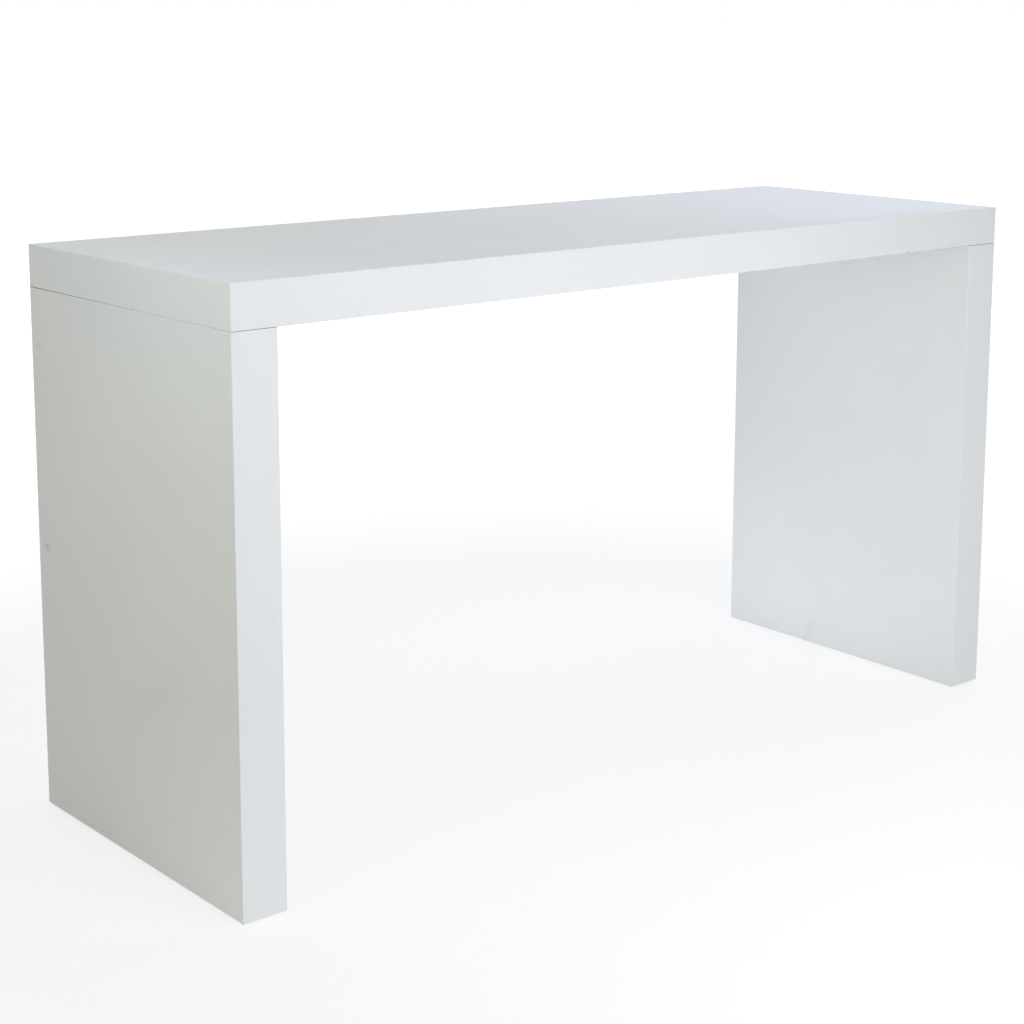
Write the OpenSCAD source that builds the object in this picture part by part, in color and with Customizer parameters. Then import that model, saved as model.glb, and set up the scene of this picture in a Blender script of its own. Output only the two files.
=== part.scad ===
// Bar table: a thick top on two panel legs, all three of them hollow boxes of thin board
// The origin is on the floor under the middle of the top
// X runs along the table, Y from its front to its back, and Z up

/* [Table] */
// Overall length of the table
table_length = 2000; // [1400:10:2600]
// Overall depth of the table, front to back
table_depth = 700; // [500:10:900]
// Height of the worktop above the floor
table_height = 1100; // [900:10:1200]

/* [Casing] */
// Thickness of the top
top_thickness = 80; // [65:1:120]
// Thickness of each leg
leg_thickness = 90; // [70:1:120]
// Thickness of the boards that case the top and the legs
casing_thickness = 12; // [9:1:15]
// Radius of the eased edges of the casing
arris_radius = 1.5; // [0.5:0.25:3]

/* [Inner frame] */
// Thickness of the ribs in the top and in the legs
rib_thickness = 12; // [9:1:18]
// Slack of a rib in the notch of the rib that it crosses
notch_clearance = 0.2; // [0.1:0.05:0.5]
// Width of the upright stiles in the legs
stile_width = 45; // [38:1:60]
// Height of the rail at the head of each leg
head_rail_height = 45; // [30:1:70]
// Height of the rail at the foot of each leg
foot_rail_height = 60; // [50:1:90]

/* [Tie rods] */
// Diameter of the tie rods
rod_diameter = 10; // [8:1:12]
// Distance from the front or back of the table to a tie rod
rod_inset = 150; // [130:1:190]
// Diametral clearance of a tie rod in the wood
rod_clearance = 1; // [0.5:0.1:2]
// Diametral clearance of a tie rod in its nut and its insert
thread_clearance = 0.2; // [0.1:0.05:0.4]
// Depth of the pocket under the leg, up to the seat of the washer
pocket_depth = 36; // [30:1:42]
// Diametral clearance of the washer in its pocket
pocket_clearance = 2; // [1:0.5:4]
// Diameter of the washers
washer_diameter = 30; // [26:1:36]
// Thickness of the washers
washer_thickness = 2.5; // [1.5:0.5:4]
// Distance across the flats of the nuts
nut_flats = 17; // [15:1:20]
// Height of the nuts
nut_height = 8; // [6:1:10]
// Length of rod left below its nut
rod_tail = 4; // [2:1:8]
// Outer diameter of the insert nuts
insert_diameter = 16; // [15:1:20]
// Length of the insert nuts
insert_length = 25; // [15:1:30]
// Diameter of the flange of the insert nuts
flange_diameter = 22; // [21:1:28]
// Thickness of the flange of the insert nuts
flange_thickness = 1.5; // [1:0.5:3]

/* [Dowels] */
// Diameter of the dowels that line the legs up with the top
dowel_diameter = 12; // [8:1:16]
// Length of the dowels
dowel_length = 60; // [40:2:66]
// Diametral clearance of a dowel in its hole
dowel_clearance = 0.2; // [0.1:0.05:0.5]

/* [Screws] */
// Diameter of the screws through the outer boards of the legs
screw_diameter = 4; // [3:0.5:5]
// Diameter of the heads of these screws
screw_head = 8; // [7:0.5:9.5]
// Length of these screws
screw_length = 40; // [30:1:45]
// Distance from the front or back of the table to a column of screws
screw_inset = 33; // [26:1:42]
// Distance from the foot of a leg to its lowest screws
screw_foot_inset = 133; // [100:1:200]
// Distance from the head of a leg to its highest screws
screw_head_inset = 110; // [100:1:200]
// Diameter of the filler plugs over the screws
plug_diameter = 12; // [10:0.5:15]
// Depth of the filler plugs
plug_depth = 4; // [3:0.5:5]
// Diametral clearance of the screws and the plugs in the wood
screw_clearance = 0.2; // [0.1:0.05:0.4]

/* [Glides] */
// Diameter of the floor glides
glide_diameter = 30; // [20:1:40]
// Height of the floor glides
glide_height = 3; // [3:0.5:8]
// Width of the chamfer round the sole of a glide
glide_chamfer = 1; // [0.5:0.25:1.5]
// Diameter of the screws in the glides
glide_screw_diameter = 3.5; // [3:0.5:4]
// Diameter of the heads of these screws
glide_screw_head = 7; // [6:0.5:7.5]
// Length of these screws
glide_screw_length = 20; // [12:1:30]
// Depth of the screw heads in the sole of the glides
glide_head_recess = 0.8; // [0.5:0.1:1]

/* [Hidden] */

// Names of the sides, as signs along X or Y
left = -1;
right = 1;
front = -1;
back = 1;

// Heights and positions that follow from the sizes
top_underside = table_height - top_thickness;
leg_height = top_underside - glide_height;
leg_centre = (table_length - leg_thickness) / 2;
leg_cavity_width = leg_thickness - 2 * casing_thickness;
cavity_depth = table_depth - 2 * casing_thickness;
top_cavity_height = top_thickness - 2 * casing_thickness;
block_width = leg_thickness - casing_thickness;
rib_span = table_length - 2 * leg_thickness;
rail_length = cavity_depth - 2 * stile_width;
stile_centre = (cavity_depth - stile_width) / 2;

// Ribs of the top: two long ribs part the depth in three, the cross ribs part the length
long_rib_offset = cavity_depth / 6;
cross_rib_count = 5;
cross_rib_spacing = rib_span / (cross_rib_count + 1);

// Ribs of a leg part the height between its two rails
leg_rib_count = 3;
leg_rib_spacing = (leg_height - foot_rail_height - head_rail_height) / (leg_rib_count + 1);

// Fasteners, measured in a leg, from its foot up and from its middle outwards
rod_offset = table_depth / 2 - rod_inset;
rod_bottom = pocket_depth - washer_thickness - nut_height - rod_tail;
insert_seat = leg_height + casing_thickness;
rod_top = insert_seat + insert_length;
screw_offset = table_depth / 2 - screw_inset;
highest_screw = leg_height - screw_head_inset;
screw_heights = [screw_foot_inset, (screw_foot_inset + highest_screw) / 2, highest_screw];

// Air left at the end of a blind hole, and overshoot of a cutter past the face that it opens
hole_end_room = 2;
overshoot = 5;

// Length of a dowel's tapered end, and how much smaller its tip is all round
dowel_taper = 3;
dowel_tip_step = 1;

// Length of the point of a screw, as a multiple of its diameter
screw_point = 1.5;

// Chords in the quarter round of an eased edge, and in a full circle
arris_steps = 4;
$fn = 48;

casing_color = [0.88, 0.89, 0.88];
frame_color = [0.84, 0.70, 0.50];
rib_color = [0.68, 0.55, 0.40];
steel_color = [0.70, 0.72, 0.74];
insert_color = [0.80, 0.70, 0.42];
plug_color = [0.74, 0.75, 0.73];
glide_color = [0.62, 0.63, 0.64];

// Outline of a rectangle about the origin with its four corners rounded
function eased_outline(width, height) = [
    for (quarter = [0 : 3], step = [0 : arris_steps])
        let (
            angle = 90 * (quarter + step / arris_steps),
            sign_x = quarter == 0 || quarter == 3 ? 1 : -1,
            sign_y = quarter < 2 ? 1 : -1
        )
        [
            sign_x * (width / 2 - arris_radius) + arris_radius * cos(angle),
            sign_y * (height / 2 - arris_radius) + arris_radius * sin(angle)
        ]
];

// Block standing on the origin, with every edge eased
module eased_block(size) {
    translate([0, 0, size.z / 2])
        intersection() {
            linear_extrude(size.z, center = true)
                polygon(eased_outline(size.x, size.y));
            rotate([90, 0, 0])
                linear_extrude(size.y + 2 * overshoot, center = true)
                    polygon(eased_outline(size.x, size.z));
            rotate([90, 0, 90])
                linear_extrude(size.x + 2 * overshoot, center = true)
                    polygon(eased_outline(size.y, size.z));
        }
}

// Wedge between the two mitres of a board, whose outer face lies on y = 0 and which goes in along +Y
module mitre_wedge(width, depth, run) {
    linear_extrude(run, center = true)
        polygon([
            [-width / 2 - overshoot, -overshoot],
            [width / 2 + overshoot, -overshoot],
            [width / 2 - depth, depth],
            [-width / 2 + depth, depth]
        ]);
}

// Board of the given outer size, mitred on all four edges, with its outer face on z = 0 and looking up
module mitred_board(length, width) {
    intersection() {
        rotate([-90, 0, 0])
            mitre_wedge(length, casing_thickness, width + 2 * overshoot);
        rotate([-90, 0, 90])
            mitre_wedge(width, casing_thickness + overshoot, length + 2 * overshoot);
    }
}

// Whole outer form of the top, which its casing boards are cut from
module top_form() {
    translate([0, 0, top_underside])
        eased_block([table_length, table_depth, top_thickness]);
}

// Moves what is built at the middle of a leg's foot to the left or the right leg, turned outwards
module at_leg(side) {
    translate([side * leg_centre, 0, glide_height])
        mirror([side == right ? 1 : 0, 0, 0])
            children();
}

module at_both_legs() {
    for (side = [left, right])
        at_leg(side)
            children();
}

module at_rods() {
    for (side = [front, back])
        translate([0, side * rod_offset, 0])
            children();
}

// Middle of the stiles, at the foot of the leg
module at_stiles() {
    for (side = [front, back])
        translate([0, side * stile_centre, 0])
            children();
}

module at_dowels() {
    at_stiles()
        translate([0, 0, leg_height])
            children();
}

// Screw positions on the outer face of a leg, with +Z going into the leg
module at_screws() {
    for (side = [front, back], height = screw_heights)
        translate([-leg_thickness / 2, side * screw_offset, height])
            rotate([0, 90, 0])
                children();
}

// Countersunk screw, its head at the origin and its point along +Z
module countersunk_screw(diameter, head, length, growth = 0) {
    radius = (diameter + growth) / 2;
    head_radius = (head + growth) / 2;
    point = diameter * screw_point;
    rotate_extrude()
        polygon([
            [0, 0],
            [head_radius, 0],
            [radius, head_radius - radius],
            [radius, length - point],
            [0, length + growth]
        ]);
}

// Screw through the outer board of a leg, from the face of the board inwards
module leg_screw(growth = 0) {
    translate([0, 0, plug_depth])
        countersunk_screw(screw_diameter, screw_head, screw_length, growth);
}

// Screw that holds a glide, from the foot of the leg upwards
module glide_screw(growth = 0) {
    translate([0, 0, glide_head_recess - glide_height])
        countersunk_screw(glide_screw_diameter, glide_screw_head, glide_screw_length, growth);
}

// Hole for a plug and the screw under it
module plugged_screw_hole() {
    translate([0, 0, -overshoot])
        cylinder(h = overshoot + plug_depth, d = plug_diameter + screw_clearance);
    leg_screw(screw_clearance);
}

module rod_hole(bottom, top) {
    translate([0, 0, bottom - overshoot])
        cylinder(h = top - bottom + 2 * overshoot, d = rod_diameter + rod_clearance);
}

// Hole for an insert nut and its flange, seen in a leg, whose tie rod goes up into it
module insert_hole() {
    translate([0, 0, insert_seat - overshoot]) {
        cylinder(h = overshoot + insert_length + hole_end_room, d = insert_diameter + thread_clearance);
        cylinder(h = overshoot + flange_thickness, d = flange_diameter + thread_clearance);
    }
}

module dowel_hole() {
    length = dowel_length + 2 * hole_end_room;
    cylinder(h = length, d = dowel_diameter + dowel_clearance, center = true);
}

module worktop_board() {
    color(casing_color)
        intersection() {
            top_form();
            translate([0, 0, table_height])
                mitred_board(table_length, table_depth);
        }
}

module underside_board() {
    color(casing_color)
        difference() {
            intersection() {
                top_form();
                translate([0, 0, top_underside])
                    rotate([180, 0, 0])
                        mitred_board(table_length, table_depth);
            }
            at_both_legs() {
                at_rods()
                    rod_hole(leg_height, insert_seat);
                at_dowels()
                    dowel_hole();
            }
        }
}

// Front or back edge board of the top
module top_long_edge(side) {
    color(casing_color)
        intersection() {
            top_form();
            translate([0, side * table_depth / 2, top_underside + top_thickness / 2])
                rotate([-side * 90, 0, 0])
                    mitred_board(table_length, top_thickness);
        }
}

// Left or right edge board of the top
module top_end_edge(side) {
    color(casing_color)
        intersection() {
            top_form();
            translate([side * table_length / 2, 0, top_underside + top_thickness / 2])
                rotate([0, side * 90, 0])
                    mitred_board(top_thickness, table_depth);
        }
}

// Long rib of the top, notched in its upper half where the cross ribs lie
module top_long_rib(side) {
    notch_depth = top_cavity_height / 2;
    color(rib_color)
        translate([0, side * long_rib_offset, top_underside + casing_thickness])
            difference() {
                translate([-rib_span / 2, -rib_thickness / 2, 0])
                    cube([rib_span, rib_thickness, top_cavity_height]);
                for (number = [1 : cross_rib_count])
                    translate([number * cross_rib_spacing - rib_span / 2, 0, notch_depth])
                        rib_notch(rib_thickness + 2 * overshoot, notch_depth);
            }
}

// Cross rib of the top, notched in its lower half where the long ribs pass
module top_cross_rib(number) {
    notch_depth = top_cavity_height / 2;
    color(rib_color)
        translate([number * cross_rib_spacing - rib_span / 2, 0, top_underside + casing_thickness])
            difference() {
                translate([-rib_thickness / 2, -cavity_depth / 2, 0])
                    cube([rib_thickness, cavity_depth, top_cavity_height]);
                for (side = [front, back])
                    translate([0, side * long_rib_offset, -overshoot])
                        rotate([0, 0, 90])
                            rib_notch(rib_thickness + 2 * overshoot, notch_depth);
            }
}

// Cutter for a rib's notch, a rib thickness wide along X, opening past the rib's edge
module rib_notch(run, depth) {
    width = rib_thickness + notch_clearance;
    translate([-width / 2, -run / 2, 0])
        cube([width, run, depth + overshoot]);
}

// Solid block at one end of the top, over the leg, which holds the insert nuts
module fixing_block(side) {
    color(frame_color)
        at_leg(side)
            difference() {
                translate([casing_thickness - leg_thickness / 2, -cavity_depth / 2, insert_seat])
                    cube([block_width, cavity_depth, top_cavity_height]);
                at_rods()
                    insert_hole();
                at_dowels()
                    dowel_hole();
            }
}

// Outer form of a leg, which its casing boards are cut from
module leg_form() {
    eased_block([leg_thickness, table_depth, leg_height]);
}

// Wedge for a board of a leg, which faces away from the middle at the given angle from the front
module leg_wedge(angle, distance, width) {
    rotate([0, 0, angle])
        translate([0, -distance, leg_height / 2])
            mitre_wedge(width, casing_thickness, leg_height + 2 * overshoot);
}

module leg_outer_board(side) {
    color(casing_color)
        at_leg(side)
            difference() {
                intersection() {
                    leg_form();
                    leg_wedge(-90, leg_thickness / 2, table_depth);
                }
                at_screws()
                    plugged_screw_hole();
            }
}

module leg_inner_board(side) {
    color(casing_color)
        at_leg(side)
            intersection() {
                leg_form();
                leg_wedge(90, leg_thickness / 2, table_depth);
            }
}

module leg_front_edge(side) {
    color(casing_color)
        at_leg(side)
            intersection() {
                leg_form();
                leg_wedge(0, table_depth / 2, leg_thickness);
            }
}

module leg_back_edge(side) {
    color(casing_color)
        at_leg(side)
            intersection() {
                leg_form();
                leg_wedge(180, table_depth / 2, leg_thickness);
            }
}

// Upright stile behind the front or back edge board of a leg
module leg_stile(side, face) {
    color(frame_color)
        at_leg(side)
            difference() {
                translate([-leg_cavity_width / 2, face * stile_centre - stile_width / 2, 0])
                    cube([leg_cavity_width, stile_width, leg_height]);
                at_dowels()
                    dowel_hole();
                at_screws()
                    leg_screw(screw_clearance);
                at_stiles()
                    glide_screw(screw_clearance);
            }
}

// Rail between the stiles of a leg
module leg_rail(bottom, height) {
    translate([-leg_cavity_width / 2, -rail_length / 2, bottom])
        cube([leg_cavity_width, rail_length, height]);
}

module leg_head_rail(side) {
    bottom = leg_height - head_rail_height;
    color(frame_color)
        at_leg(side)
            difference() {
                leg_rail(bottom, head_rail_height);
                at_rods()
                    rod_hole(bottom, leg_height);
            }
}

// Foot rail, with a pocket for the nut and the washer of each tie rod
module leg_foot_rail(side) {
    color(frame_color)
        at_leg(side)
            difference() {
                leg_rail(0, foot_rail_height);
                at_rods() {
                    rod_hole(0, foot_rail_height);
                    translate([0, 0, -overshoot])
                        cylinder(h = overshoot + pocket_depth, d = washer_diameter + pocket_clearance);
                }
            }
}

// Thin cross rib of a leg, counted from the foot up
module leg_rib(side, number) {
    bottom = foot_rail_height + number * leg_rib_spacing - rib_thickness / 2;
    color(rib_color)
        at_leg(side)
            difference() {
                leg_rail(bottom, rib_thickness);
                at_rods()
                    rod_hole(bottom, bottom + rib_thickness);
            }
}

module tie_rods() {
    color(steel_color)
        at_both_legs()
            at_rods()
                translate([0, 0, rod_bottom])
                    cylinder(h = rod_top - rod_bottom, d = rod_diameter);
}

module tie_rod_washers() {
    color(steel_color)
        at_both_legs()
            at_rods()
                translate([0, 0, pocket_depth - washer_thickness])
                    difference() {
                        cylinder(h = washer_thickness, d = washer_diameter);
                        translate([0, 0, -overshoot])
                            cylinder(h = washer_thickness + 2 * overshoot, d = rod_diameter + rod_clearance);
                    }
}

module tie_rod_nuts() {
    color(steel_color)
        at_both_legs()
            at_rods()
                translate([0, 0, rod_bottom + rod_tail])
                    difference() {
                        cylinder(h = nut_height, d = nut_flats / cos(30), $fn = 6);
                        translate([0, 0, -overshoot])
                            cylinder(h = nut_height + 2 * overshoot, d = rod_diameter + thread_clearance);
                    }
}

// Flanged insert nuts in the fixing blocks, which the tie rods screw into
module insert_nuts() {
    bore = (rod_diameter + thread_clearance) / 2;
    color(insert_color)
        at_both_legs()
            at_rods()
                translate([0, 0, insert_seat])
                    rotate_extrude()
                        polygon([
                            [bore, 0],
                            [flange_diameter / 2, 0],
                            [flange_diameter / 2, flange_thickness],
                            [insert_diameter / 2, flange_thickness],
                            [insert_diameter / 2, insert_length],
                            [bore, insert_length]
                        ]);
}

module alignment_dowels() {
    radius = dowel_diameter / 2;
    half = dowel_length / 2;
    color(frame_color)
        at_both_legs()
            at_dowels()
                rotate_extrude()
                    polygon([
                        [0, -half],
                        [radius - dowel_tip_step, -half],
                        [radius, dowel_taper - half],
                        [radius, half - dowel_taper],
                        [radius - dowel_tip_step, half],
                        [0, half]
                    ]);
}

module leg_screws() {
    color(steel_color)
        at_both_legs()
            at_screws()
                leg_screw();
}

module filler_plugs() {
    color(plug_color)
        at_both_legs()
            at_screws()
                cylinder(h = plug_depth, d = plug_diameter);
}

// Low round glides under the stiles, countersunk from below for their screws
module floor_glides() {
    radius = glide_diameter / 2;
    recess_diameter = glide_screw_head + screw_clearance;
    color(glide_color)
        at_both_legs()
            at_stiles()
                difference() {
                    rotate_extrude()
                        polygon([
                            [0, -glide_height],
                            [radius - glide_chamfer, -glide_height],
                            [radius, glide_chamfer - glide_height],
                            [radius, 0],
                            [0, 0]
                        ]);
                    translate([0, 0, -glide_height - overshoot])
                        cylinder(h = overshoot + glide_head_recess, d = recess_diameter);
                    glide_screw(screw_clearance);
                }
}

module glide_screws() {
    color(steel_color)
        at_both_legs()
            at_stiles()
                glide_screw();
}

worktop_board();
underside_board();
top_long_edge(front);  // top_front_edge
top_long_edge(back);  // top_back_edge
top_end_edge(left);  // top_left_edge
top_end_edge(right);  // top_right_edge
top_long_rib(front);  // top_front_rib
top_long_rib(back);  // top_back_rib
top_cross_rib(1);  // top_cross_rib_1
top_cross_rib(2);  // top_cross_rib_2
top_cross_rib(3);  // top_cross_rib_3
top_cross_rib(4);  // top_cross_rib_4
top_cross_rib(5);  // top_cross_rib_5
fixing_block(left);  // left_fixing_block
fixing_block(right);  // right_fixing_block
leg_outer_board(left);  // left_leg_outer_board
leg_inner_board(left);  // left_leg_inner_board
leg_front_edge(left);  // left_leg_front_edge
leg_back_edge(left);  // left_leg_back_edge
leg_stile(left, front);  // left_leg_front_stile
leg_stile(left, back);  // left_leg_back_stile
leg_head_rail(left);  // left_leg_head_rail
leg_foot_rail(left);  // left_leg_foot_rail
leg_rib(left, 1);  // left_leg_lower_rib
leg_rib(left, 2);  // left_leg_middle_rib
leg_rib(left, 3);  // left_leg_upper_rib
leg_outer_board(right);  // right_leg_outer_board
leg_inner_board(right);  // right_leg_inner_board
leg_front_edge(right);  // right_leg_front_edge
leg_back_edge(right);  // right_leg_back_edge
leg_stile(right, front);  // right_leg_front_stile
leg_stile(right, back);  // right_leg_back_stile
leg_head_rail(right);  // right_leg_head_rail
leg_foot_rail(right);  // right_leg_foot_rail
leg_rib(right, 1);  // right_leg_lower_rib
leg_rib(right, 2);  // right_leg_middle_rib
leg_rib(right, 3);  // right_leg_upper_rib
tie_rods();
tie_rod_nuts();
tie_rod_washers();
insert_nuts();
alignment_dowels();
leg_screws();
filler_plugs();
floor_glides();
glide_screws();
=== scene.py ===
"""Looks of the bar table: satin white lacquer on its casing boards, plain wood, board and metal inside.

Metres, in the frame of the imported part. The camera stands where the photograph was taken from.
"""
import math

import bpy
from mathutils import Matrix, Vector


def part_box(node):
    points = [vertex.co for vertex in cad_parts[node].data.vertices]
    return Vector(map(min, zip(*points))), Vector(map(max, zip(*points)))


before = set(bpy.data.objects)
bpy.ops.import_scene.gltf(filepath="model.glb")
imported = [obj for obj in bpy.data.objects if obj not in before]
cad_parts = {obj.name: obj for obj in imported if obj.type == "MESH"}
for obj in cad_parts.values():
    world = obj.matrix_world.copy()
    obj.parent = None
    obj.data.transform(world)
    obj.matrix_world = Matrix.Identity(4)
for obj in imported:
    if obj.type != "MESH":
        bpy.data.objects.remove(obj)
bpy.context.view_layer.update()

MM = 0.001

# Camera of the photograph: its place, its turn from the +Y axis, and its lens
CAMERA_PLACE = (-2.722, -3.107, 1.539)
CAMERA_TURN_RIGHT = 40.0
CAMERA_TILT_DOWN = 9.585
CAMERA_ROLL = 0.14
CAMERA_LENS = 71.16
CAMERA_SENSOR = 36.0
CAMERA_SHIFT_UP = -0.16

# Nodes of the three lacquered panels, whose boxes give their arrises and the seams between them
PANEL_NODES = {
    "top": ("worktop_board", "underside_board", "top_front_edge", "top_back_edge",
            "top_left_edge", "top_right_edge"),
    "left_leg": ("left_leg_outer_board", "left_leg_inner_board", "left_leg_front_edge",
                 "left_leg_back_edge"),
    "right_leg": ("right_leg_outer_board", "right_leg_inner_board", "right_leg_front_edge",
                  "right_leg_back_edge"),
}
WOOD_UPRIGHT = ("left_leg_front_stile", "left_leg_back_stile", "right_leg_front_stile",
                "right_leg_back_stile", "alignment_dowels")
WOOD_LEVEL = ("left_fixing_block", "right_fixing_block", "left_leg_head_rail", "left_leg_foot_rail",
              "right_leg_head_rail", "right_leg_foot_rail")
PLAIN_STEEL = ("tie_rod_nuts", "tie_rod_washers", "leg_screws", "glide_screws")

# Range that most of a noise texture keeps to
NOISE_RANGE = (0.3, 0.7)

# How near to a face a place counts as on it: the outer faces, and the worktop
NEAR_FACE = 1.0 * MM
NEAR_WORKTOP = 0.5 * MM

# Colours of the lacquer, of its marks and of its painted shadow, as linear light
LACQUER_PALE = (0.856, 0.861, 0.856, 1.0)
LACQUER_DEEP = (0.804, 0.809, 0.804, 1.0)
# dark colour of the painted shadow in the leg joints and on the lower front arris of the top
SHADOW_COLOUR = (0.16, 0.13, 0.10, 1.0)
RIM_SHADE = (0.42, 0.40, 0.36, 1.0)
NICK_SHADE = (0.34, 0.29, 0.22, 1.0)
GREY_PATCH_COLOUR = (0.50, 0.49, 0.45, 1.0)

# Painted shadow in the hairline gap between a leg and the top, a dark line: its half width, how open it is
# on the fronts and at least, and how it opens along the outer faces from front to back
SEAM_HALF_WIDTH = 0.5 * MM
SEAM_OPEN_FRONT = 0.85
SEAM_OPEN_LEAST = 0.12
SEAM_OPEN_SIDE = (0.3, 1.1)
SEAM_OPEN_POWER = 4.0

# Painted shade on the lower front arris of the top, where it meets the right leg: it grows to the right and
# ends at the leg
ARRIS_SHADE_ALONG = (0.50, 0.91)
ARRIS_SHADE_STRENGTH = 0.6
ARRIS_SHADE_DEPTH = 1.0 * MM

# Dark rims around filled screw holes on the left leg: half their width and height,
# how wide their line and their halo are in parts of that, and where and to what share they fade
RIM_RADIUS = (8 * MM, 5 * MM)
RIM_LINE = 0.30
HALO_RADIUS = 2.2
HALO_STRENGTH = 0.22
RIM_FADE_SLANT = (-1.0, -0.3)
RIM_FADED = 0.2
# Place of each rim, and how plainly it shows
SHOWN_RIMS = (((-1.0, 0.314, 0.523), 0.9), ((-1.0, 0.320, 0.910), 0.25))

# Nicks in the lacquer of a panel: size of their ragged outline, where they end in parts of their reach,
# and the place and reach of each
NICK_RAGGED_SIZE = 1.5 * MM
NICK_OUTLINE = (1.3, 0.9)
NICKS = {
    "top": (((-1.0, -0.035, 1.0208), 2.4 * MM), ((0.6985, -0.35, 1.0215), 2.6 * MM)),
    "left_leg": (((-1.0, -0.35, 0.004), 2.2 * MM),),
    "right_leg": (((0.91, -0.35, 0.004), 2.8 * MM), ((0.91, -0.35, 0.036), 1.6 * MM)),
}

# Soft grey patches on a panel: how they fall off, and where each starts and ends, its half width, and how
# plainly it shows
GREY_PATCH_FALL = 1.5
GREY_PATCHES = {
    "top": (
        ((0.40, 0.128, 1.1), (0.49, 0.142, 1.1), 9 * MM, 0.12),
        ((0.08, 0.033, 1.1), (0.19, 0.045, 1.1), 16 * MM, 0.08),
    ),
    "left_leg": (((-1.0, 0.03, 0.275), (-1.0, -0.15, 0.37), 58 * MM, 0.075),),
    "right_leg": (
        ((0.91, 0.076, 0.055), (0.91, 0.098, 0.010), 19 * MM, 0.10),
        ((0.91, 0.250, 0.015), (0.91, 0.200, 0.015), 20 * MM, 0.07),
    ),
}


class Graph:
    """Node tree of one material, built from the place on the piece to the shader."""

    def __init__(self, name):
        self.material = bpy.data.materials.new(name)
        self.material.use_nodes = True
        self.tree = self.material.node_tree
        self.tree.nodes.clear()
        self.place = self.add("ShaderNodeTexCoord").outputs["Object"]

    def add(self, kind, inputs=None, **settings):
        """Adds a node. Each of its inputs takes a constant, or the output that feeds it."""
        node = self.tree.nodes.new(kind)
        for setting, value in settings.items():
            setattr(node, setting, value)
        for socket, value in (inputs or {}).items():
            if isinstance(value, bpy.types.NodeSocket):
                self.tree.links.new(value, node.inputs[socket])
            else:
                node.inputs[socket].default_value = value
        return node

    def math(self, operation, *values):
        return self.add("ShaderNodeMath", dict(enumerate(values)), operation=operation).outputs[0]

    def axes(self):
        """The three coordinates of the place, as separate numbers."""
        return self.add("ShaderNodeSeparateXYZ", {"Vector": self.place}).outputs

    def distance(self, point):
        """Distance from a point."""
        inputs = {0: self.place, 1: point}
        return self.add("ShaderNodeVectorMath", inputs, operation="DISTANCE").outputs["Value"]

    def noise(self, size, stretch=(1, 1, 1), detail=2.0):
        """Noise from 0 to 1 whose features are size across, and longer along the axes with a stretch."""
        scale = [1 / (size * s) for s in stretch]
        mapped = self.add("ShaderNodeMapping", {"Vector": self.place, "Scale": scale})
        texture = {"Vector": mapped.outputs[0], "Scale": 1.0, "Detail": detail}
        return self.add("ShaderNodeTexNoise", texture).outputs["Fac"]

    def remap(self, value, low, high, to_low=0.0, to_high=1.0):
        """Carries low..high over to to_low..to_high, with nothing outside that."""
        limits = {"Value": value, "From Min": low, "From Max": high, "To Min": to_low, "To Max": to_high}
        return self.add("ShaderNodeMapRange", limits).outputs[0]

    def mix(self, share, first, second):
        """Colour between first and second."""
        factor, first_colour, second_colour, colour_out = 0, 6, 7, 2
        inputs = {factor: share, first_colour: first, second_colour: second}
        return self.add("ShaderNodeMix", inputs, data_type="RGBA").outputs[colour_out]

    def bump(self, height, depth, strength=1.0):
        """Normal of a surface whose height runs from 0 to 1 over the given depth."""
        inputs = {"Height": height, "Distance": depth, "Strength": strength}
        return self.add("ShaderNodeBump", inputs).outputs[0]

    def finish(self, colour, roughness, normal, **constants):
        """Ends the tree in a principled shader and returns the material."""
        inputs = {"Base Color": colour, "Roughness": roughness, "Normal": normal}
        inputs.update({key.replace("_", " "): value for key, value in constants.items()})
        shader = self.add("ShaderNodeBsdfPrincipled", inputs)
        self.add("ShaderNodeOutputMaterial", {"Surface": shader.outputs[0]})
        return self.material


def join_boxes(names):
    """Lowest and highest corner of several nodes."""
    boxes = [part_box(name) for name in names]
    low = Vector(min(box[0][axis] for box in boxes) for axis in range(3))
    high = Vector(max(box[1][axis] for box in boxes) for axis in range(3))
    return low, high


def edge_distance(graph, low, high):
    """Distance from a place on the faces of a box to the nearest arris."""
    inward = []
    for axis, coordinate in enumerate(graph.axes()):
        from_middle = graph.math("SUBTRACT", coordinate, (low[axis] + high[axis]) / 2)
        from_middle = graph.math("ABSOLUTE", from_middle)
        inward.append(graph.math("SUBTRACT", (high[axis] - low[axis]) / 2, from_middle))
    nearer = graph.math("MINIMUM", inward[0], inward[1])
    farther = graph.math("MAXIMUM", inward[0], inward[1])
    return graph.math("MAXIMUM", nearer, graph.math("MINIMUM", farther, inward[2]))


def gap_shadow_share(graph):
    """How dark the painted shadow in the hairline gap between a leg and the top is: it opens towards the
    back of the side faces.
    """
    top_low, top_high = join_boxes(PANEL_NODES["top"])
    leg_low = join_boxes(PANEL_NODES["right_leg"])[0]
    x, y, z = graph.axes()
    off = graph.math("ABSOLUTE", graph.math("SUBTRACT", z, top_low.z))
    over_leg = graph.math("GREATER_THAN", graph.math("ABSOLUTE", x), leg_low.x - NEAR_FACE)
    on_front = graph.math("LESS_THAN", y, top_low.y + NEAR_FACE)
    side = graph.remap(y, top_low.y, top_high.y, *SEAM_OPEN_SIDE)
    side = graph.math("MAXIMUM", graph.math("POWER", side, SEAM_OPEN_POWER), SEAM_OPEN_LEAST)
    opening = graph.math("MAXIMUM", side, graph.math("MULTIPLY", on_front, SEAM_OPEN_FRONT))
    reach = graph.math("MULTIPLY", opening, SEAM_HALF_WIDTH)
    line = graph.math("LESS_THAN", off, reach)
    return graph.math("MULTIPLY", line, over_leg)


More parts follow.
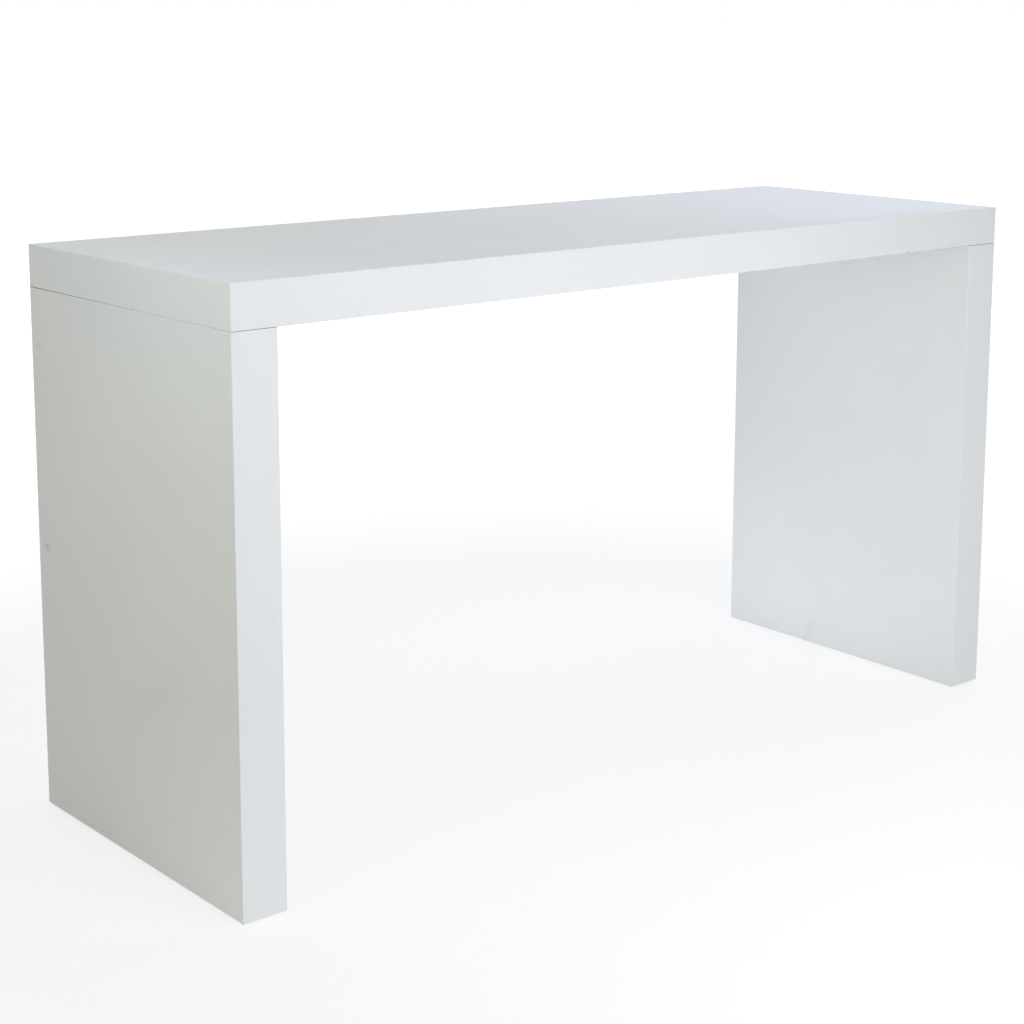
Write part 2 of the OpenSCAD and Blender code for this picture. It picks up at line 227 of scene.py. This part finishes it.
def arris_shade_share(graph):
    """Faint painted shade on the lower front arris of the top, darkest where it meets the right leg."""
    low = join_boxes(PANEL_NODES["top"])[0]
    x, y, z = graph.axes()
    off = graph.math("ABSOLUTE", graph.math("SUBTRACT", z, low.z))
    on_arris = graph.math("LESS_THAN", off, ARRIS_SHADE_DEPTH)
    on_front = graph.math("LESS_THAN", y, low.y + NEAR_FACE)
    strength = graph.remap(x, *ARRIS_SHADE_ALONG, 0.0, ARRIS_SHADE_STRENGTH)
    strength = graph.math("MULTIPLY", strength, graph.math("LESS_THAN", x, ARRIS_SHADE_ALONG[1]))
    return graph.math("MULTIPLY", graph.math("MULTIPLY", on_arris, on_front), strength)


def rim_share(graph, place, strength):
    """Dark rim around a filled hole, open at its lower front, in a faint halo."""
    x, y, z = graph.axes()
    along = graph.math("DIVIDE", graph.math("SUBTRACT", y, place[1]), RIM_RADIUS[0])
    above = graph.math("DIVIDE", graph.math("SUBTRACT", z, place[2]), RIM_RADIUS[1])
    offset = graph.add("ShaderNodeCombineXYZ", {"Y": along, "Z": above}).outputs[0]
    radius = graph.add("ShaderNodeVectorMath", {0: offset}, operation="LENGTH").outputs["Value"]
    from_rim = graph.math("ABSOLUTE", graph.math("SUBTRACT", radius, 1.0))
    rim = graph.remap(from_rim, RIM_LINE, 0.0, 0.0, strength)
    slant = graph.math("ADD", along, above)
    rim = graph.math("MULTIPLY", rim, graph.remap(slant, *RIM_FADE_SLANT, RIM_FADED, 1.0))
    halo = graph.remap(radius, HALO_RADIUS, 1.0, 0.0, HALO_STRENGTH * strength)
    outside = graph.math("LESS_THAN", x, place[0] + NEAR_FACE)
    return graph.math("MULTIPLY", graph.math("MAXIMUM", rim, halo), outside)


def nick_share(graph, place, reach):
    """Small nick with a ragged outline."""
    ragged = graph.math("MULTIPLY", graph.noise(NICK_RAGGED_SIZE), reach)
    outline = [reach * part for part in NICK_OUTLINE]
    return graph.remap(graph.math("ADD", graph.distance(place), ragged), *outline)


def grey_patch_share(graph, start, end, reach, strength):
    """Soft grey patch along a line on a face."""
    line = Vector(end) - Vector(start)
    offset = graph.add("ShaderNodeVectorMath", {0: graph.place, 1: start}, operation="SUBTRACT").outputs[0]
    along = graph.add("ShaderNodeVectorMath", {0: offset, 1: line}, operation="DOT_PRODUCT").outputs["Value"]
    passed = graph.remap(along, 0.0, line.length_squared)
    nearest = graph.add("ShaderNodeVectorMath", {0: line, 3: passed}, operation="SCALE").outputs[0]
    away = graph.add("ShaderNodeVectorMath", {0: offset, 1: nearest}, operation="DISTANCE").outputs["Value"]
    share = graph.math("POWER", graph.remap(away, reach, 0.0), GREY_PATCH_FALL)
    return graph.math("MULTIPLY", share, strength)


# Wipe streaks of the worktop: width, and how much longer they are along it
STREAK_WIDTH = 16 * MM
STREAK_STRETCH = (24, 1, 1)
STREAK_MIDDLE = 0.5


def wipe_streaks(graph):
    """Streaks along the worktop from wiping it, and their even middle on every other face."""
    worktop = join_boxes(PANEL_NODES["top"])[1].z
    on_top = graph.math("GREATER_THAN", graph.axes()[2], worktop - NEAR_WORKTOP)
    streaks = graph.noise(STREAK_WIDTH, stretch=STREAK_STRETCH, detail=3.0)
    swing = graph.math("MULTIPLY", graph.math("SUBTRACT", streaks, STREAK_MIDDLE), on_top)
    return graph.math("ADD", swing, STREAK_MIDDLE)


# Colour of the lacquer: sizes of its clouds and specks, and what they and the streaks add to its shade
CLOUD_SIZE = 260 * MM
CLOUD_SHARE = 0.3
SPECK_SIZE = 2.2 * MM
SPECK_SHARE = 0.7
STREAK_SHARE = 0.38
LACQUER_SHADE_RANGE = (0.35, 0.65)

# Gloss of the lacquer: smears, the part that they and the streaks have in it, and rubbed arrises
SMEAR_SIZE = 60 * MM
SMEAR_STRETCH = (4, 1, 2)
GLOSS_PART = 0.5
LACQUER_ROUGHNESS = (0.36, 0.44)
RUBBED_REACH = (3 * MM, 1 * MM)
RUBBED_SMOOTHER = 0.08

# Orange peel of the lacquer
PEEL_SIZE = 2 * MM
PEEL_DEPTH = 0.01 * MM
PEEL_STRENGTH = 0.8
LACQUER_IOR = 1.5


def lacquer(name, low, high, rims=(), nicks=(), grey_patches=()):
    """Satin white lacquer: faint clouds, grain and streaks, orange peel, and arrises rubbed smooth."""
    graph = Graph(name)
    clouds = graph.math("MULTIPLY", graph.noise(CLOUD_SIZE), CLOUD_SHARE)
    specks = graph.math("MULTIPLY", graph.noise(SPECK_SIZE), SPECK_SHARE)
    streaks = wipe_streaks(graph)
    swing = graph.math("SUBTRACT", streaks, STREAK_MIDDLE)
    shade = graph.math("ADD", clouds, specks)
    shade = graph.math("ADD", shade, graph.math("MULTIPLY", swing, STREAK_SHARE))
    colour = graph.mix(graph.remap(shade, *LACQUER_SHADE_RANGE), LACQUER_DEEP, LACQUER_PALE)
    for grey_patch in grey_patches:
        colour = graph.mix(grey_patch_share(graph, *grey_patch), colour, GREY_PATCH_COLOUR)
    for rim in rims:
        colour = graph.mix(rim_share(graph, *rim), colour, RIM_SHADE)
    for nick in nicks:
        colour = graph.mix(nick_share(graph, *nick), colour, NICK_SHADE)
    # painted shade along the lower front arris of the top, next to the right leg
    colour = graph.mix(arris_shade_share(graph), colour, SHADOW_COLOUR)
    # painted shadow in the hairline gap between each leg and the top
    colour = graph.mix(gap_shadow_share(graph), colour, SHADOW_COLOUR)

    smears = graph.noise(SMEAR_SIZE, stretch=SMEAR_STRETCH)
    gloss = graph.math("MULTIPLY", graph.math("ADD", streaks, smears), GLOSS_PART)
    roughness = graph.remap(gloss, *NOISE_RANGE, *LACQUER_ROUGHNESS)
    rubbed = graph.remap(edge_distance(graph, low, high), *RUBBED_REACH, 0.0, RUBBED_SMOOTHER)
    roughness = graph.math("SUBTRACT", roughness, rubbed)

    peel = graph.noise(PEEL_SIZE, detail=1.0)
    normal = graph.bump(peel, PEEL_DEPTH, PEEL_STRENGTH)
    return graph.finish(colour, roughness, normal, IOR=LACQUER_IOR)


# Planed pine: its rings and fibres, how much longer they are along the grain, and its colours
RING_WIDTH = 14 * MM
RING_STRETCH = 16
RINGS_IN_NOISE = 9.0
RING_SHARE = 0.6
FIBRE_WIDTH = 1.2 * MM
FIBRE_STRETCH = 40
FIBRE_SHARE = 0.4
FIBRE_RELIEF = 0.15 * MM
PINE_PALE = (0.66, 0.47, 0.27, 1.0)
PINE_DEEP = (0.50, 0.30, 0.14, 1.0)
PINE_ROUGHNESS = (0.55, 0.72)


def softwood(name, along):
    """Planed pine with its grain along an axis: pale early wood, darker late wood, fine pores."""
    graph = Graph(name)
    ring_stretch = [RING_STRETCH if axis == along else 1 for axis in range(3)]
    fibre_stretch = [FIBRE_STRETCH if axis == along else 1 for axis in range(3)]
    rings = graph.noise(RING_WIDTH, stretch=ring_stretch, detail=1.0)
    rings = graph.math("PINGPONG", graph.math("MULTIPLY", rings, RINGS_IN_NOISE), 1.0)
    rings = graph.math("MULTIPLY", rings, RING_SHARE)
    fibres = graph.noise(FIBRE_WIDTH, stretch=fibre_stretch)
    shade = graph.math("ADD", rings, graph.math("MULTIPLY", fibres, FIBRE_SHARE))
    colour = graph.mix(shade, PINE_PALE, PINE_DEEP)
    roughness = graph.remap(fibres, *NOISE_RANGE, *PINE_ROUGHNESS)
    return graph.finish(colour, roughness, graph.bump(fibres, FIBRE_RELIEF))


# Sawn fibreboard: its flecks, their stretch and relief, and its colours
FLECK_SIZE = 1.6 * MM
FLECK_STRETCH = (3, 3, 1)
FLECK_RELIEF = 0.12 * MM
BOARD_DEEP = (0.24, 0.15, 0.08, 1.0)
BOARD_PALE = (0.44, 0.31, 0.19, 1.0)
BOARD_ROUGHNESS = (0.75, 0.9)


def fibreboard(name):
    """Sawn fibreboard: brown, with darker and paler flecks."""
    graph = Graph(name)
    flecks = graph.noise(FLECK_SIZE, stretch=FLECK_STRETCH, detail=4.0)
    colour = graph.mix(graph.remap(flecks, *NOISE_RANGE), BOARD_DEEP, BOARD_PALE)
    roughness = graph.remap(flecks, *NOISE_RANGE, *BOARD_ROUGHNESS)
    return graph.finish(colour, roughness, graph.bump(flecks, FLECK_RELIEF))


# Plated metal: its mottled bloom, its fine relief, its colours, and the thread of the tie rods
BLOOM_SIZE = 4 * MM
METAL_RELIEF_SIZE = 0.6 * MM
METAL_RELIEF = 0.02 * MM
METAL_ROUGHNESS = (0.28, 0.42)
STEEL_PALE = (0.72, 0.74, 0.77, 1.0)
STEEL_DEEP = (0.58, 0.60, 0.63, 1.0)
BRASS_PALE = (0.80, 0.62, 0.30, 1.0)
BRASS_DEEP = (0.66, 0.48, 0.20, 1.0)
THREAD_PITCH = 1.5 * MM
HALF_TURN = 0.5


def metal(name, pale, deep, thread_pitch=None):
    """Plated metal with a mottled sheen, and a thread where it has a pitch."""
    graph = Graph(name)
    bloom = graph.noise(BLOOM_SIZE, detail=3.0)
    colour = graph.mix(graph.remap(bloom, *NOISE_RANGE), deep, pale)
    height = graph.noise(METAL_RELIEF_SIZE)
    depth = METAL_RELIEF
    if thread_pitch:
        turns = graph.math("DIVIDE", graph.axes()[2], thread_pitch)
        height = graph.math("PINGPONG", turns, HALF_TURN)
        depth = thread_pitch
    roughness = graph.remap(bloom, *NOISE_RANGE, *METAL_ROUGHNESS)
    return graph.finish(colour, roughness, graph.bump(height, depth), Metallic=1.0)


# Moulded plastic: its grain and colours
GRAIN_SIZE = 0.8 * MM
GRAIN_RELIEF = 0.05 * MM
PLASTIC_DEEP = (0.27, 0.28, 0.29, 1.0)
PLASTIC_PALE = (0.33, 0.34, 0.35, 1.0)
PLASTIC_ROUGHNESS = (0.45, 0.6)


def moulded_plastic(name):
    """Grey glide plastic, finely grained."""
    graph = Graph(name)
    grain = graph.noise(GRAIN_SIZE, detail=3.0)
    colour = graph.mix(graph.remap(grain, *NOISE_RANGE), PLASTIC_DEEP, PLASTIC_PALE)
    roughness = graph.remap(grain, *NOISE_RANGE, *PLASTIC_ROUGHNESS)
    return graph.finish(colour, roughness, graph.bump(grain, GRAIN_RELIEF))


def dress(material, names):
    """Gives the CAD nodes their material."""
    for name in names:
        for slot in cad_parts[name].material_slots:
            slot.material = material


def dress_all():
    """Dresses every node: the three panels, then what is inside and below them."""
    for panel, names in PANEL_NODES.items():
        rims = SHOWN_RIMS if panel == "left_leg" else ()
        marks = (rims, NICKS[panel], GREY_PATCHES[panel])
        dress(lacquer("lacquer_" + panel, *join_boxes(names), *marks), names)
    dress(lacquer("painted_filler", *join_boxes(["filler_plugs"]), SHOWN_RIMS), ["filler_plugs"])
    dress(softwood("softwood_upright", along=2), WOOD_UPRIGHT)
    dress(softwood("softwood_level", along=1), WOOD_LEVEL)
    ribs = [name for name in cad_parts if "_rib" in name]
    dress(fibreboard("fibreboard"), ribs)
    dress(metal("zinc_steel", STEEL_PALE, STEEL_DEEP), PLAIN_STEEL)
    dress(metal("threaded_steel", STEEL_PALE, STEEL_DEEP, THREAD_PITCH), ["tie_rods"])
    dress(metal("insert_brass", BRASS_PALE, BRASS_DEEP), ["insert_nuts"])
    dress(moulded_plastic("glide_plastic"), ["floor_glides"])


def make_camera():
    """Camera at the viewing angle of the photograph."""
    data = bpy.data.cameras.new("photo_camera")
    data.lens = CAMERA_LENS
    data.sensor_width = CAMERA_SENSOR
    data.shift_y = CAMERA_SHIFT_UP
    camera = bpy.data.objects.new("photo_camera", data)
    bpy.context.scene.collection.objects.link(camera)
    camera.matrix_world = (
        Matrix.Translation(CAMERA_PLACE)
        @ Matrix.Rotation(-math.radians(CAMERA_TURN_RIGHT), 4, "Z")
        @ Matrix.Rotation(math.radians(90 - CAMERA_TILT_DOWN), 4, "X")
        @ Matrix.Rotation(math.radians(CAMERA_ROLL), 4, "Z")
    )
    bpy.context.scene.camera = camera


# Lamps: name, place, point that it faces, width and height, power in watts, colour, whether it is mirrored
LAMPS = (
    ("key", (0.2, -2.2, 1.0), (0.1, 0.0, 0.6), (1.8, 1.4), 15.9, (0.78, 0.85, 1.0), True),
    ("key_high", (-1.2, -2.8, 2.4), (0.2, 0.0, 0.6), (1.6, 1.2), 8.8, (1.0, 0.80, 0.98), True),
    ("key_slab", (-0.2, -1.5, 1.15), (-0.2, 0.0, 0.95), (0.8, 0.5), 1.7, (0.98, 1.0, 0.91), False),
    ("key_low", (-0.3, -1.7, 0.35), (-0.7, 0.0, 0.3), (0.8, 0.5), 2.0, (0.69, 0.80, 1.0), False),
    ("left_side", (-2.0, -0.7, 1.3), (-1.0, -0.35, 1.05), (0.6, 0.6), 2.3, (1.0, 0.80, 0.46), False),
    ("left_high", (-1.7, -0.6, 1.7), (-1.0, -0.2, 0.95), (0.5, 0.5), 3.2, (0.46, 0.74, 1.0), False),
    ("left_back", (-1.8, -0.1, 1.6), (-1.0, 0.05, 1.0), (0.5, 0.5), 0.9, (0.72, 0.85, 1.0), False),
    ("back", (-0.5, 3.2, 1.6), (0.0, 0.0, 1.0), (2.4, 1.2), 24.8, (0.75, 0.81, 1.0), False),
    ("back_low", (1.7, 3.0, 0.5), (0.3, 0.35, 0.6), (0.8, 0.8), 6.0, (1.0, 0.94, 0.90), False),
    ("right_high", (1.4, 0.6, 2.8), (0.8, 0.0, 1.1), (1.6, 1.6), 16.1, (0.61, 0.73, 1.0), True),
    ("right_top", (0.95, -0.2, 1.8), (0.95, -0.2, 1.1), (0.4, 0.4), 1.0, (0.60, 0.70, 1.0), False),
    ("right_end", (3.2, 0.2, 0.8), (1.0, 0.0, 0.6), (1.4, 1.2), 15.2, (1.0, 0.93, 0.96), True),
)
# Even light of the world on everything, and the white of the background
AMBIENT = (0.345, 0.345, 0.29, 1.0)
WHITE = (1.0, 1.0, 1.0, 1.0)


def add_lamp(name, place, target, size, power, colour, mirrored):
    """Soft rectangular lamp, which lights the scene but isn't seen itself, or not even mirrored."""
    data = bpy.data.lights.new(name, "AREA")
    data.shape = "RECTANGLE"
    data.size, data.size_y = size
    data.energy = power
    data.color = colour
    lamp = bpy.data.objects.new(name, data)
    bpy.context.scene.collection.objects.link(lamp)
    lamp.location = place
    lamp.rotation_euler = (Vector(target) - Vector(place)).to_track_quat("-Z", "Y").to_euler()
    lamp.visible_camera = False
    lamp.visible_glossy = mirrored


def seen_directly(graph):
    """1 for camera, glossy and transmission rays, and 0 for the rays that light the object."""
    path = graph.add("ShaderNodeLightPath").outputs
    either = graph.math("MAXIMUM", path["Is Camera Ray"], path["Is Glossy Ray"])
    return graph.math("MAXIMUM", either, path["Is Transmission Ray"])


class WorldGraph(Graph):
    """Node tree of the world, built with the same calls as a material's."""

    def __init__(self, name):
        self.world = bpy.data.worlds.new(name)
        self.world.use_nodes = True
        self.tree = self.world.node_tree
        self.tree.nodes.clear()


def make_world():
    """White where it is seen or mirrored, and a weaker even light on everything."""
    graph = WorldGraph("studio")
    light = graph.add("ShaderNodeBackground", {"Color": AMBIENT, "Strength": 1.0})
    white = graph.add("ShaderNodeBackground", {"Color": WHITE, "Strength": 1.0})
    seen = seen_directly(graph)
    both = graph.add("ShaderNodeMixShader", {0: seen, 1: light.outputs[0], 2: white.outputs[0]})
    graph.add("ShaderNodeOutputWorld", {"Surface": both.outputs[0]})
    bpy.context.scene.world = graph.world


# Half the side of the floor, and its colour
FLOOR_REACH = 80.0
FLOOR_COLOUR = (0.86, 0.86, 0.86, 1.0)
# Share of the floor's look that is background white, near the table and beyond the reach of its shadow,
# how far from the middle it changes from the one to the other, and how bright that white is
FLOOR_WHITE_SHARE = (0.6, 1.0)
FLOOR_WHITE_FROM = 1.4
FLOOR_WHITE_TO = 3.2
FLOOR_WHITE_STRENGTH = 1.15
# Light that bright patches of the floor give back to the table: middle, how far out it fades, and colour
BOUNCES = (
    ((0.2, 0.0, 0.0), (0.4, 0.9), (0.57, 0.59, 0.60, 1.0)),
    ((-1.2, -0.6, 0.0), (0.2, 0.8), (0.24, 0.24, 0.25, 1.0)),
    ((0.6, 0.45, 0.0), (0.1, 0.6), (0.28, 0.30, 0.42, 1.0)),
)


def bounce_light(graph, seen, middle, fade, colour):
    """Glow of a patch of the floor, which lights the table but isn't seen."""
    strength = graph.remap(graph.distance(middle), *fade, 1.0, 0.0)
    strength = graph.math("MULTIPLY", strength, graph.math("SUBTRACT", 1.0, seen))
    return graph.add("ShaderNodeEmission", {"Color": colour, "Strength": strength})


def floor_material():
    """Pale matt floor that keeps the shadow near the table and fades out to the white of the background."""
    graph = Graph("floor")
    seen = seen_directly(graph)
    share = graph.remap(graph.distance((0, 0, 0)), FLOOR_WHITE_FROM, FLOOR_WHITE_TO, *FLOOR_WHITE_SHARE)
    share = graph.math("MULTIPLY", share, seen)
    lit = graph.add("ShaderNodeBsdfDiffuse", {"Color": FLOOR_COLOUR})
    for bounce in BOUNCES:
        glow = bounce_light(graph, seen, *bounce)
        lit = graph.add("ShaderNodeAddShader", {0: lit.outputs[0], 1: glow.outputs[0]})
    white = graph.add("ShaderNodeEmission", {"Color": WHITE, "Strength": FLOOR_WHITE_STRENGTH})
    both = graph.add("ShaderNodeMixShader", {0: share, 1: lit.outputs[0], 2: white.outputs[0]})
    graph.add("ShaderNodeOutputMaterial", {"Surface": both.outputs[0]})
    return graph.material


def make_floor():
    """Wide level floor at z = 0, centred under the table."""
    mesh = bpy.data.meshes.new("floor")
    corners = [(-1, -1), (1, -1), (1, 1), (-1, 1)]
    mesh.from_pydata([(FLOOR_REACH * x, FLOOR_REACH * y, 0.0) for x, y in corners], [], [(0, 1, 2, 3)])
    mesh.materials.append(floor_material())
    floor = bpy.data.objects.new("floor", mesh)
    bpy.context.scene.collection.objects.link(floor)


def make_stage():
    """Floor, world and lamps."""
    make_floor()
    make_world()
    for lamp in LAMPS:
        add_lamp(*lamp)
    bpy.context.scene.view_settings.view_transform = "Standard"


make_camera()
dress_all()
make_stage()
